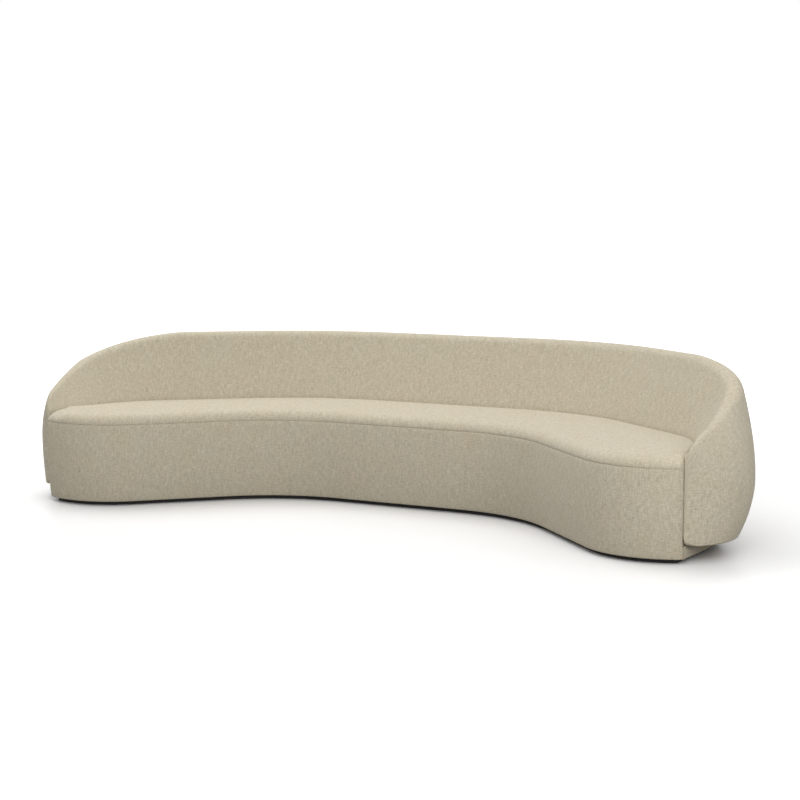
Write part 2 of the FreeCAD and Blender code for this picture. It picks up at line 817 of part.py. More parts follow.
def seat_strap(side, share):
    """One webbing strap from the front rail to the rear rail."""
    section = SeatSection(side, *seat_pair(share))
    near = section.from_front(FRONT_RAIL_INSET + WEBBING)
    far = section.from_back(REAR_RAIL_INSET + WEBBING)
    return across(section, section.block(near, far, SEAT_FRAME_TOP, SEAT_FRAME_TOP + WEBBING), WEBBING_WIDTH)


def seat_rib(side, share):
    """One cross rib of the seat, hollowed on top to let the webbing sag."""
    section = SeatSection(side, *seat_pair(share))
    near = section.from_front(FRONT_RAIL_INSET + BOARD / 2.0)
    far = section.from_back(REAR_RAIL_INSET + BOARD / 2.0)
    low = BOARD_BOTTOM + BOARD
    corners = [
        section.at(near, low),
        section.at(far, low),
        section.at(far, SEAT_FRAME_TOP),
        section.at(far - RIB_SHOULDER, SEAT_FRAME_TOP),
        section.at(far - RIB_SHOULDER - RIB_DIP, SEAT_FRAME_TOP - RIB_DIP),
        section.at(near + RIB_SHOULDER + RIB_DIP, SEAT_FRAME_TOP - RIB_DIP),
        section.at(near + RIB_SHOULDER, SEAT_FRAME_TOP),
        section.at(near, SEAT_FRAME_TOP),
    ]
    edges = [line(corners[k - 1], corners[k]) for k in range(len(corners))]
    return across(section, edges, BOARD).cut(FRONT_RAIL).cut(REAR_RAIL)


def plate(front_inset, inset, bottom, top):
    """A flat plate over the whole footprint, at its insets from the front line and from the other edges."""
    near = []
    far = []
    pairs = seat_stations(front_inset)
    for side, f, b in [(-1, f, b) for f, b in reversed(pairs)] + [(1, f, b) for f, b in pairs]:
        section = SeatSection(side, f, b)
        near.append(section.at(section.from_front(front_inset), bottom))
    places = [inset] + [place for place in back_stations(0) if place > inset + 1.0]
    for side, e in [(-1, e) for e in places] + [(1, e) for e in reversed(places)]:
        point, outward = back_line(side, BACK_LENGTH - e)
        far.append(raised(point + outward * (base_edge(e) - inset), bottom))
    outline = Part.makePolygon(near + list(reversed(far)) + [near[0]])
    return Part.Face(outline).extrude(Vector(0.0, 0.0, top - bottom))


def seat_row(count, last, make):
    """Copies of a piece across the seat, from one side to the other."""
    places = [(-1, last * k / count) for k in range(count, 0, -1)]
    places += [(1, last * k / count) for k in range(count + 1)]
    return [make(side, place) for side, place in places]


os.makedirs("parts", exist_ok=True)

# Base
plinth = plate(PLINTH_INSET, PLINTH_INSET, 0.0, PLINTH_HEIGHT)
inner = PLINTH_INSET + PLINTH_WIDTH
save("plinth", plinth.cut(plate(inner, inner, -1.0, PLINTH_HEIGHT + 1.0)))
lip_end = FABRIC_LIP + FABRIC
save("dust_cover", plate(lip_end, lip_end, PLINTH_HEIGHT, BOARD_BOTTOM))
save("base_board", plate(FRONT_RAIL_INSET, FABRIC + CLEARANCE, BOARD_BOTTOM, BOARD_BOTTOM + BOARD))
save("base_rim", back_loft(base_rim_segments, ARM_END_STATIONS))
save("base_band", back_loft(base_band_segments, 0))

# Seat frame
REAR_RAIL_DEPTH = SEAT_GAP + REAR_RAIL_INSET + BOARD + CLEARANCE
CORNER_ANGLE = travel(FRONT_PIECES, FRONT_LENGTH)[2] - travel(BACK_PIECES, BACK_LENGTH)[2]
FRONT_RAIL = seat_loft(front_rail_edges, REAR_RAIL_DEPTH / math.sin(CORNER_ANGLE))
REAR_RAIL = back_loft(rear_rail_segments, 1)
save("front_rail", FRONT_RAIL)
save("rear_rail", REAR_RAIL)
for number, rib in enumerate(seat_row(SEAT_RIBS_PER_SIDE, SEAT_LAST_RIB, seat_rib)):
    save("seat_rib_" + str(number + 1), rib)
strap_count = int(SEAT_LAST_STRAP * FRONT_LENGTH / WEBBING_PITCH)
save("seat_webbing", Part.Compound(seat_row(strap_count, SEAT_LAST_STRAP, seat_strap)))

# Seat padding and fabric
save("seat_foam", seat_loft(seat_foam_edges, 0.0))
save("front_foam", seat_loft(front_foam_edges, 0.0))
save("seat_cover", seat_loft(seat_cover_edges, 0.0))
save("front_cover", seat_loft(front_cover_edges, 0.0))

# Back frame
save("top_rail", back_loft(top_rail_segments, ARM_END_STATIONS + 2))
save("mid_rail", back_loft(mid_rail_segments, ARM_END_STATIONS + 2))
save("bottom_plate", back_loft(bottom_plate_segments, ARM_END_STATIONS + 2))
for number, rib in enumerate(back_ribs()):
    save("back_rib_" + str(number + 1), rib)
save("back_webbing", Part.Compound(back_straps()))
save("skin_board", back_loft(skin_board_segments, NOSE_STATIONS + ARM_BEND_STATIONS))

# Back padding and fabric
save("back_foam", back_loft(foam_segments, ARM_END_STATIONS))
save("back_cover", back_loft(cover_segments, 0))

# Arm fronts
for side, hand in ((1, "left"), (-1, "right")):
    save("arm_post_" + hand, back_slice(side, back_stations(0)[ARM_END_STATIONS], ARM_POST_WIDTH, post_outline))
    save("arm_end_foam_" + hand, arm_end_foam(side))
    save("arm_front_panel_" + hand, arm_front_panel(side))
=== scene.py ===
import math

import bmesh
import bpy
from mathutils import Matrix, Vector


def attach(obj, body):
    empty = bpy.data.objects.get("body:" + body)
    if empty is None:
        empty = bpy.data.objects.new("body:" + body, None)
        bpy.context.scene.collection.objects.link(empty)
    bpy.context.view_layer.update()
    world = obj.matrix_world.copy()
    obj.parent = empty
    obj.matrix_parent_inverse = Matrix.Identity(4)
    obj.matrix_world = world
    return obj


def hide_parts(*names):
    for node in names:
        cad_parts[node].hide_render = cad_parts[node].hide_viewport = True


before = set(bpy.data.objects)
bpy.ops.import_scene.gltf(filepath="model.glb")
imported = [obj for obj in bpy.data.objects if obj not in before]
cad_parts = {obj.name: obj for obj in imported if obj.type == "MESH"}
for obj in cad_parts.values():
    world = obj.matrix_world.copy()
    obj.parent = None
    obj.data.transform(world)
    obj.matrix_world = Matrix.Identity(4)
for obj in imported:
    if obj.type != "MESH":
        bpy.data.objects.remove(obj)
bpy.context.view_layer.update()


# The plinth: a low ring of softwood board that the whole sofa stands on, set back so that the
# sofa seems to float. It is screwed up into the base board, stained black and lacquered dull.

def linear(hex_colour):
    """An sRGB hex colour as linear red, green, blue and alpha."""
    parts = [int(hex_colour[i:i + 2], 16) / 255.0 for i in (1, 3, 5)]
    return [c / 12.92 if c <= 0.04045 else ((c + 0.055) / 1.055) ** 2.4 for c in parts] + [1.0]


def add(tree, kind, settings=(), **links):
    """A node with its settings and its inputs, each a value or the output of another node.

    An input goes by its label, or by i and its number where a node repeats a label.
    """
    made = tree.nodes.new(kind)
    for name, value in dict(settings).items():
        setattr(made, name, value)
    for name, value in links.items():
        key = int(name[1:]) if name[0] == "i" and name[1:].isdigit() else name.replace("_", " ")
        if isinstance(value, bpy.types.NodeSocket):
            tree.links.new(value, made.inputs[key])
        else:
            made.inputs[key].default_value = value
    return made


def new_material(name):
    """An empty node material with its shader, joined to the output."""
    material = bpy.data.materials.new(name)
    material.use_nodes = True
    tree = material.node_tree
    tree.nodes.clear()
    shader = add(tree, "ShaderNodeBsdfPrincipled")
    output = add(tree, "ShaderNodeOutputMaterial")
    tree.links.new(shader.outputs["BSDF"], output.inputs["Surface"])
    return material, tree, shader


def object_place(tree):
    """Object coordinates, in metres."""
    return add(tree, "ShaderNodeTexCoord").outputs["Object"]


def two_tone(tree, factor, first, second):
    """A colour between two."""
    mixed = add(tree, "ShaderNodeMix", {"data_type": "RGBA"}, Factor=factor, i6=first, i7=second)
    return mixed.outputs[2]


def surface(tree, shader, colour, roughness, height, strength, depth):
    """Gives a shader its colour and roughness, and relief of a depth in metres."""
    tree.links.new(colour, shader.inputs["Base Color"])
    shader.inputs["Roughness"].default_value = roughness
    relief = add(tree, "ShaderNodeBump", Height=height, Strength=strength, Distance=depth)
    tree.links.new(relief.outputs["Normal"], shader.inputs["Normal"])


def finish_nodes(names, material):
    """Gives carried-over pieces their material."""
    for name in names:
        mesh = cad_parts[name].data
        mesh.materials.clear()
        mesh.materials.append(material)


# Black-stained softwood: dull, with faint grain along the board. Grain bands are 6 mm apart.
stained_wood, tree, shader = new_material("black_stained_softwood")
along = add(tree, "ShaderNodeMapping", Vector=object_place(tree), Scale=(12.0, 166.0, 166.0))
grain = add(
    tree, "ShaderNodeTexNoise", Vector=along.outputs["Vector"], Scale=1.0, Detail=4.0, Roughness=0.6
).outputs["Fac"]
stain_tone = two_tone(tree, grain, linear("#0b0a09"), linear("#211e1a"))
surface(tree, shader, stain_tone, 0.62, grain, 0.2, 0.0004)
finish_nodes(["plinth"], stained_wood)


# The dust cover: a thin black non-woven polypropylene cloth, stapled under the base board
# inside the fabric's turned-in edge. Fine fibres give it a slight mottle and a soft dull face.

dust_cloth, tree, shader = new_material("non_woven_polypropylene")
fibres = add(
    tree, "ShaderNodeTexNoise", Vector=object_place(tree), Scale=400.0, Detail=3.0, Roughness=0.7
).outputs["Fac"]
cover_tone = two_tone(tree, fibres, linear("#101010"), linear("#2a2a29"))
surface(tree, shader, cover_tone, 0.9, fibres, 0.3, 0.0003)
finish_nodes(["dust_cover"], dust_cloth)


# The frame: birch plywood boards and ribs, glued and stapled, standing on the base board.
# The faces are pale with long grain, and the plies show as thin lines. These are drawn 3 mm
# apart, twice as far as real ones. None of it shows on the finished sofa.

birch_plywood, tree, shader = new_material("sawn_birch_plywood")
where = object_place(tree)
along = add(tree, "ShaderNodeMapping", Vector=where, Scale=(6.0, 90.0, 90.0))
grain = add(
    tree, "ShaderNodeTexNoise", Vector=along.outputs["Vector"],
    Scale=1.0, Detail=5.0, Roughness=0.55, Distortion=0.4,
).outputs["Fac"]
plies = add(
    tree, "ShaderNodeTexWave", {"bands_direction": "Z"}, Vector=where, Scale=105.0, Distortion=0.6
).outputs["Fac"]
ply_lines = add(tree, "ShaderNodeMath", {"operation": "MULTIPLY"}, i0=plies, i1=0.25).outputs[0]
face_tone = two_tone(tree, grain, linear("#b08b5c"), linear("#dcc398"))
surface(tree, shader, two_tone(tree, ply_lines, face_tone, linear("#7d5c37")), 0.7, grain, 0.25, 0.0005)
timber = ["base_board", "base_rim", "front_rail", "rear_rail", "top_rail", "mid_rail", "bottom_plate"]
timber += [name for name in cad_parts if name.startswith(("seat_rib", "back_rib", "arm_post"))]
finish_nodes(timber, birch_plywood)


# The skin board: a 3 mm pressed hardboard panel on the outside of the back's ribs, which
# keeps the padding out of the hollow frame. Brown and smooth, with short dark fibres.

hardboard, tree, shader = new_material("pressed_hardboard")
fibres = add(
    tree, "ShaderNodeTexNoise", Vector=object_place(tree), Scale=260.0, Detail=4.0, Roughness=0.75
).outputs["Fac"]
board_tone = two_tone(tree, fibres, linear("#5b3f27"), linear("#8f6a47"))
surface(tree, shader, board_tone, 0.55, fibres, 0.15, 0.0003)
finish_nodes(["skin_board"], hardboard)


# The webbing: 50 mm woven elastic straps, stretched from rail to rail under the seat and up
# the inside of the back, and stapled at both ends. Its woven ribs are drawn 6 mm apart, about
# twice as far as real ones.

elastic_webbing, tree, shader = new_material("woven_elastic_webbing")
ribs = add(
    tree, "ShaderNodeTexWave", {"bands_direction": "Y"}, Vector=object_place(tree), Scale=52.0, Distortion=0.3
).outputs["Fac"]
strap_tone = two_tone(tree, ribs, linear("#1d1a17"), linear("#4b443b"))
surface(tree, shader, strap_tone, 0.8, ribs, 0.6, 0.0006)
finish_nodes(["seat_webbing", "back_webbing"], elastic_webbing)


# The seat pad: one long kidney-shaped block of foam under a fitted fabric top, lying on the
# webbing. The top is slightly crowned, its front edge is rolled over to the seam, and its
# back edge dips into the joint with the back. The plan is flats and arcs from the middle out.

FRONT_FLAT = 0.331
HOLLOW_RADIUS, HOLLOW_TURN = 0.700, math.radians(44.6)
LOBE_RADIUS = 0.375
CORNER_INSET, CORNER_REACH = 0.004, 0.0085
SEAT_DEPTH = 0.529
BACK_LINE = [
    (0.396, 0.0),
    (0.967 * math.radians(39.4), -math.radians(39.4)),
    (0.449, 0.0),
    (0.490 * math.radians(38.6), -math.radians(38.6)),
    (0.334, 0.0),
]
BACK_LENGTH = sum(run for run, turn in BACK_LINE)
SEAT_END = 0.150
SEAT_GAP = 0.0006
PLINTH_TOP = 0.020
SEAM_HEIGHT = 0.389
SEAT_HEIGHT = 0.438
SEAT_CROWN = 0.009
EDGE_RADIUS = 0.052
SEAM_OVERHANG = 0.018
BULGE_RISE = 0.013
CORNER_RADIUS = 0.025
LEAST_SQUARENESS = 0.5
BACK_WIDTH = 0.232


def travel(line, distance):
    """Place and heading after a distance along a plan line that leaves the middle along +X."""
    x, y, heading, left = 0.0, 0.0, 0.0, distance
    for run, turn in line:
        step = min(left, run)
        if step <= 0.0:
            break
        angle = turn * step / run
        if turn:
            radius = run / turn
            x += radius * (math.sin(heading + angle) - math.sin(heading))
            y -= radius * (math.cos(heading + angle) - math.cos(heading))
        else:
            x += step * math.cos(heading)
            y += step * math.sin(heading)
        heading += angle
        left -= step
    return x, y, heading


def front_plan():
    """The front line: a flat, a hollow, a straight wing and the lobe that ends at the arm's front."""
    start = [(FRONT_FLAT, 0.0), (HOLLOW_RADIUS * HOLLOW_TURN, -HOLLOW_TURN)]
    x, y, heading = travel(start, math.inf)
    end_x, end_y, end_heading = travel(BACK_LINE, math.inf)
    end_x += CORNER_REACH * math.cos(end_heading) + CORNER_INSET * math.sin(end_heading)
    end_y += CORNER_REACH * math.sin(end_heading) - CORNER_INSET * math.cos(end_heading)
    dx = x - LOBE_RADIUS * math.sin(heading) - end_x
    dy = y + LOBE_RADIUS * math.cos(heading) - SEAT_DEPTH - end_y
    half = dx * math.cos(heading) + dy * math.sin(heading)
    wing = -half - math.sqrt(half ** 2 - dx ** 2 - dy ** 2 + LOBE_RADIUS ** 2)
    centre = (dx + wing * math.cos(heading), dy + wing * math.sin(heading))
    turn = math.atan2(-centre[1], -centre[0]) + math.pi / 2.0 - heading
    return start + [(wing, 0.0), (LOBE_RADIUS * turn, turn)]


FRONT_LINE = front_plan()
FRONT_LENGTH = sum(run for run, turn in FRONT_LINE)
last_heading = travel(FRONT_LINE, FRONT_LENGTH)[2]
lobe_front = travel(FRONT_LINE, FRONT_LENGTH - LOBE_RADIUS * last_heading)[1]
bulge = BULGE_RISE * (1.0 + SEAM_OVERHANG / BULGE_RISE / 4.0) ** 2
BACK_Y = (SEAT_DEPTH - lobe_front + bulge - BACK_WIDTH) / 2.0


def front_at(side, distance):
    """A point of the front line and its direction away from the seat."""
    x, y, heading = travel(FRONT_LINE, distance)
    outward = Vector((side * math.sin(heading), -math.cos(heading), 0.0))
    return Vector((side * x, BACK_Y - SEAT_DEPTH + y, 0.0)), outward


def back_at(side, distance):
    """A point of the back line and its direction away from the seat."""
    x, y, heading = travel(BACK_LINE, distance)
    away = Vector((-side * math.sin(heading), math.cos(heading), 0.0))
    return Vector((side * x, BACK_Y + y, 0.0)), away


class SeatCut:
    """The seat cut through from a point of the front line to the matching point of the back line."""

    def __init__(self, side, distance):
        runs = [run for run, turn in BACK_LINE[:3]] + [BACK_LINE[3][0] + BACK_LINE[4][0] - SEAT_END]
        left, back = distance, 0.0
        for (front_run, turn), back_run in zip(FRONT_LINE, runs):
            step = min(left, front_run)
            back += back_run * step / front_run
            left -= step
        front, outward = front_at(side, distance)
        rear, away = back_at(side, back)
        rear = rear - away * SEAT_GAP
        self.front = front
        self.depth = (rear - front).length
        self.along = (rear - front).normalized()
        self.front_skew = max(-self.along.dot(outward), LEAST_SQUARENESS)
        self.back_skew = max(self.along.dot(away), LEAST_SQUARENESS)
        rest = CORNER_RADIUS - min(FRONT_LENGTH - distance, CORNER_RADIUS)
        self.corner = CORNER_RADIUS - math.sqrt(CORNER_RADIUS ** 2 - rest ** 2)

    def at(self, depth, height):
        """A point at a depth along the cut."""
        return self.front + self.along * depth + Vector((0.0, 0.0, height))

    def from_front(self, inset):
        """Depth of a point that lies an inset behind the front line."""
        return (inset + self.corner) / self.front_skew

    def from_back(self, inset):
        """Depth of a point that lies an inset before the back line."""
        return self.depth - inset / self.back_skew

    def face(self, inset, height):
        """A point of the leaning, bulging front."""
        share = (height - PLINTH_TOP) / (SEAM_HEIGHT - PLINTH_TOP)
        lean = SEAM_OVERHANG * share + 4.0 * BULGE_RISE * share * (1.0 - share)
        return self.at(self.from_front(inset - lean), height)


def ease(share):
    """A smooth step from 0 to 1, level at both ends."""
    inner = min(max(share, 0.0), 1.0)
    return inner * inner * (3.0 - 2.0 * inner)


def both_ways(length, spacing, bring_in=()):
    """Sides and distances from one end of a line to the other, with extra ones near the ends."""
    count = round(length / spacing)
    half = sorted({length * k / count for k in range(count + 1)} | {length - d for d in bring_in})
    return [(-1, d) for d in reversed(half[1:])] + [(1, d) for d in half]


def skin(name, ring_at, places, material):
    """A closed mesh through a ring at each place, with the cloth's run in metres as its UV map."""
    rings = [ring_at(side, distance) for side, distance in places]
    mesh = bpy.data.meshes.new(name)
    count = len(rings[0])
    points = [tuple(p) for ring in rings for p in ring]
    faces = []
    for i in range(len(rings) - 1):
        for j in range(count):
            k = (j + 1) % count
            faces.append((i * count + j, i * count + k, (i + 1) * count + k, (i + 1) * count + j))
    side_faces = len(faces)
    faces.append(tuple(reversed(range(count))))
    faces.append(tuple((len(rings) - 1) * count + j for j in range(count)))
    mesh.from_pydata(points, [], faces)
    around = [0.0]
    middle = rings[len(rings) // 2]
    for j in range(1, count + 1):
        around.append(around[-1] + (Vector(middle[j % count]) - Vector(middle[j - 1])).length)
    layer = mesh.uv_layers.new(name="cloth")
    for f, face in enumerate(mesh.polygons):
        for corner, vertex in zip(face.loop_indices, face.vertices):
            i, j = divmod(vertex, count)
            side, distance = places[i]
            last_strip = f < side_faces and f % count == count - 1
            layer.data[corner].uv = (side * distance, around[count if last_strip and j == 0 else j])
    for face in mesh.polygons:
        face.use_smooth = True
    shaped = bmesh.new()
    shaped.from_mesh(mesh)
    bmesh.ops.recalc_face_normals(shaped, faces=shaped.faces)
    shaped.to_mesh(mesh)
    shaped.free()
    mesh.materials.append(material)
    piece = bpy.data.objects.new(name, mesh)
    bpy.context.scene.collection.objects.link(piece)
    return piece


# Linen-look weave of cotton and viscose: dull and soft, with a faint sheen at a glance. Each
# yarn mixes pale and tan fibres, so the cloth looks heathered, with thick stretches of yarn
# (slubs) about 4 mm wide and 25 mm long up and across. The yarns are really 1.2 mm apart and
# are drawn 4.8 mm apart, because the sofa is seen whole and finer ones would vanish.
heathered_linen, tree, shader = new_material("heathered_linen_weave")
cloth_uv = add(tree, "ShaderNodeUVMap", {"uv_map": "cloth"}).outputs["UV"]


def streaks(scale, seed, detail):
    """Noise drawn out along one direction of the cloth."""
    stretched = add(tree, "ShaderNodeMapping", Vector=cloth_uv, Scale=scale, Location=(seed, seed, seed))
    return add(
        tree, "ShaderNodeTexNoise", Vector=stretched.outputs["Vector"],
        Scale=1.0, Detail=detail, Roughness=0.6,
    ).outputs["Fac"]


def yarns(direction):
    """The rise and fall of the yarns that run one way."""
    return add(
        tree, "ShaderNodeTexWave", {"bands_direction": direction}, Vector=cloth_uv,
        Scale=66.0, Distortion=1.2, Detail=1.0,
    ).outputs["Fac"]


def sum_of(first, second, operation="ADD"):
    """One value from two."""
    return add(tree, "ShaderNodeMath", {"operation": operation}, i0=first, i1=second).outputs[0]


warp_slubs = streaks((45.0, 260.0, 1.0), 3.1, 2.0)
weft_slubs = streaks((260.0, 38.0, 1.0), 7.7, 2.0)
heather = streaks((420.0, 420.0, 1.0), 11.3, 1.0)
patches = streaks((9.0, 7.0, 1.0), 5.9, 2.0)
mixed = sum_of(sum_of(sum_of(warp_slubs, weft_slubs), sum_of(heather, 0.8, "MULTIPLY")), 2.8, "DIVIDE")
yarn = add(tree, "ShaderNodeMapRange", Value=mixed, i1=0.35, i2=0.65, i3=0.0, i4=1.0).outputs[0]
warmth = add(tree, "ShaderNodeMapRange", Value=patches, i1=0.4, i2=0.7, i3=0.0, i4=0.18).outputs[0]
cloth_tone = two_tone(tree, yarn, linear("#a29a86"), linear("#d3cab5"))
weave = sum_of(sum_of(yarns("X"), yarns("Y"), "MAXIMUM"), mixed)
surface(tree, shader, two_tone(tree, warmth, cloth_tone, linear("#bda98a")), 0.92, weave, 0.45, 0.0008)
shader.inputs["Specular IOR Level"].default_value = 0.25
shader.inputs["Sheen Weight"].default_value = 0.12
shader.inputs["Sheen Roughness"].default_value = 0.55

SEAM_FOLD = 0.0022
SEAM_GROOVE = 0.001
BACK_ROLL = 0.012
PAD_DEPTH = 0.097
PAD_FRONT_INSET, PAD_BACK_INSET = 0.006, 0.003
END_ROLL, END_ROLL_LENGTH = 0.062, 0.170
FRONT_SPACING, FRONT_CLOSE = 0.012, (0.018, 0.009, 0.004, 0.0015)


def seat_ring(side, distance):
    """The pad's outline: seam, rolled edge, crowned top, rolled back edge and flat underside.

    The roll of the front edge grows longer towards the seat's ends, down into the arms' corners.
    """
    cut = SeatCut(side, distance)
    reach = EDGE_RADIUS + END_ROLL * (1.0 - ease((FRONT_LENGTH - distance) / END_ROLL_LENGTH))
    centre = reach - SEAM_OVERHANG
    ring = [cut.at(cut.from_front(SEAM_FOLD * 1.6 - SEAM_OVERHANG), SEAM_HEIGHT - SEAM_GROOVE)]
    for step in range(12):
        angle = math.pi - (math.pi / 2.0) * step / 11
        tucked = SEAM_FOLD * (1.0 - min(step / 1.5, 1.0)) ** 2
        height = SEAM_HEIGHT + (SEAT_HEIGHT - SEAM_HEIGHT) * math.sin(angle)
        ring.append(cut.at(cut.from_front(centre + (reach - tucked) * math.cos(angle)), height))
    start = ring[-1].copy()
    end = cut.at(cut.from_back(0.0), SEAT_HEIGHT)
    flat_end = cut.at(cut.from_back(BACK_ROLL), SEAT_HEIGHT)
    for step in range(1, 27):
        share = step / 26
        point = start.lerp(flat_end, share)
        whole = (point - start).length / max((end - start).length, 1e-6)
        point.z += SEAT_CROWN * 4.0 * whole * (1.0 - whole)
        ring.append(point)
    crest = ring[-1].z
    for step in range(1, 5):
        angle = (math.pi / 2.0) * step / 4
        inset = BACK_ROLL * (1.0 - math.sin(angle))
        ring.append(cut.at(cut.from_back(inset), crest - BACK_ROLL * (1.0 - math.cos(angle))))
    under = SEAT_HEIGHT - PAD_DEPTH
    ring.append(cut.at(cut.from_back(0.0), (crest + under) / 2.0))
    ring.append(cut.at(cut.from_back(PAD_BACK_INSET), under))
    front, back = cut.from_front(0.0), cut.from_back(0.0)
    ring += [cut.at(front + (back - front) * share, under) for share in (0.75, 0.5, 0.25)]
    ring.append(cut.face(PAD_FRONT_INSET, under))
    ring.append(cut.face(PAD_FRONT_INSET, (under + SEAM_HEIGHT) / 2.0))
    return ring


front_places = both_ways(FRONT_LENGTH, FRONT_SPACING, FRONT_CLOSE)
seat_pad = skin("seat_pad", seat_ring, front_places, heathered_linen)
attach(seat_pad, "root")
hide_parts("seat_cover", "seat_foam")


# The seam's thread: a row of fine polyester stitches, 5 mm apart, that join the seat's fabric
# to the front's. They lie down in the groove of the seam, in the colour of the cloth.

STITCH_PITCH = 0.005
STITCH_HALF_LENGTH = 0.0017
THREAD_RADIUS = 0.00035
THREAD_INSET, THREAD_DROP = SEAM_FOLD * 1.2, 0.0003

seam_thread, tree, shader = new_material("matched_polyester_thread")
twist = add(
    tree, "ShaderNodeTexWave", {"bands_direction": "DIAGONAL"}, Vector=object_place(tree), Scale=900.0
).outputs["Fac"]
thread_tone = two_tone(tree, twist, linear("#8f8671"), linear("#b5ac97"))
tree.links.new(thread_tone, shader.inputs["Base Color"])
shader.inputs["Roughness"].default_value = 0.6

seam_line = bpy.data.curves.new("seam_line", "CURVE")
seam_line.dimensions = "3D"
spline = seam_line.splines.new("POLY")
spline.points.add(len(front_places) - 1)
for point, (side, distance) in zip(spline.points, front_places):
    cut = SeatCut(side, distance)
    point.co = (*cut.at(cut.from_front(THREAD_INSET - SEAM_OVERHANG), SEAM_HEIGHT - THREAD_DROP), 1.0)
seam_object = bpy.data.objects.new("seam_line", seam_line)
bpy.context.scene.collection.objects.link(seam_object)

group = bpy.data.node_groups.new("stitches_along_a_seam", "GeometryNodeTree")
group.interface.new_socket("Geometry", in_out="INPUT", socket_type="NodeSocketGeometry")
inputs = [
    ("Stitch pitch", STITCH_PITCH),
    ("Stitch half length", STITCH_HALF_LENGTH),
    ("Thread radius", THREAD_RADIUS),
]
sockets = [
    (group.interface.new_socket(label, in_out="INPUT", socket_type="NodeSocketFloat").identifier, value)
    for label, value in inputs
]
group.interface.new_socket("Geometry", in_out="OUTPUT", socket_type="NodeSocketGeometry")
given = group.nodes.new("NodeGroupInput").outputs
spots = add(
    group, "GeometryNodeCurveToPoints", {"mode": "LENGTH"},
    Curve=given["Geometry"], Length=given["Stitch pitch"],
)
stitch = add(group, "GeometryNodeMeshUVSphere", Segments=6, Rings=5, Radius=1.0)
shape = add(
    group, "ShaderNodeCombineXYZ",
    X=given["Thread radius"], Y=given["Thread radius"], Z=given["Stitch half length"],
)
placed = add(
    group, "GeometryNodeInstanceOnPoints", Points=spots.outputs["Points"], Instance=stitch.outputs["Mesh"],
    Rotation=spots.outputs["Rotation"], Scale=shape.outputs[0],
)
real = add(group, "GeometryNodeRealizeInstances", Geometry=placed.outputs["Instances"])
painted = add(group, "GeometryNodeSetMaterial", Geometry=real.outputs["Geometry"], Material=seam_thread)
result = group.nodes.new("NodeGroupOutput")
group.links.new(painted.outputs["Geometry"], result.inputs[0])
stitching = seam_object.modifiers.new("stitches", "NODES")
stitching.node_group = group
for identifier, value in sockets:
    stitching[identifier] = value
bpy.context.view_layer.update()
evaluated = seam_object.evaluated_get(bpy.context.evaluated_depsgraph_get())
stitched = bpy.data.meshes.new_from_object(evaluated)
seam_object.modifiers.remove(stitching)
bpy.data.objects.remove(seam_object)
seam_stitches = bpy.data.objects.new("seam_stitches", stitched)
bpy.context.scene.collection.objects.link(seam_stitches)
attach(seam_stitches, "root")


# The front: a band of the same fabric over 14 mm of foam on the curved front rail. It hangs
# from the seam, bulges a little, and is turned in under the base board and stapled there.

BAND_FOLD = 0.0025
HEM_TURN, HEM_LIP = 0.006, 0.026
CLOTH_EDGE = 0.002
FOAM_BACK, FOAM_STEP, FOAM_TOP, FOAM_MIDDLE = 0.0065, 0.338, 0.340, 0.180
FOLD_BACK, FOAM_TOP_BACK, FOLD_CLEAR = 0.005, 0.0052, 0.0004
END_SPREAD, END_SPREAD_LENGTH, END_SPREAD_TOP = 0.0037, 0.040, 0.080


def front_ring(side, distance):
    """The band's outline: the outer face from its turned-in hem to the seam, and the face on the rail.

    Its foot spreads at the two ends, to meet the base's own fabric under the arm.
    """
    cut = SeatCut(side, distance)
    lip, back = cut.from_front(HEM_LIP), cut.from_front(FOAM_BACK)
    ring = [cut.at(lip, PLINTH_TOP + CLOTH_EDGE), cut.at(lip, PLINTH_TOP)]
    for step in range(5):
        angle = -math.pi / 2.0 - (math.pi / 2.0) * step / 4
        height = PLINTH_TOP + HEM_TURN * (1.0 + math.sin(angle))
        ring.append(cut.face(HEM_TURN * (1.0 + math.cos(angle)), height))
    low = PLINTH_TOP + HEM_TURN
    high = SEAM_HEIGHT - BAND_FOLD
    ring += [cut.face(0.0, low + (high - low) * step / 20) for step in range(1, 21)]
    for step in range(1, 4):
        angle = (math.pi / 2.0) * step / 3
        height = high + (BAND_FOLD - FOLD_CLEAR) * math.sin(angle)
        ring.append(cut.face(BAND_FOLD * (1.0 - math.cos(angle)), height))
    ring.append(cut.face(FOLD_BACK, SEAM_HEIGHT - SEAT_GAP))
    ring.append(cut.face(FOAM_TOP_BACK, FOAM_TOP))
    ring += [cut.at(back, height) for height in (FOAM_STEP, FOAM_MIDDLE, PLINTH_TOP + CLOTH_EDGE)]
    away = back_at(side, BACK_LENGTH)[1]
    spread = away * END_SPREAD * max(1.0 - (FRONT_LENGTH - distance) / END_SPREAD_LENGTH, 0.0)
    return [point + spread if point.z < END_SPREAD_TOP else point for point in ring]


front_band = skin("front_band", front_ring, front_places, heathered_linen)
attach(front_band, "root")
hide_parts("front_cover", "front_foam")


# The back and arms: one shell of fabric over foam that wraps round the seat. The inner face
# leans back, the top is a soft round ridge, and the outside swells to a belly and tucks in
# to a hem above the floor. Towards each end it slopes down and thins to the arm's narrow front.

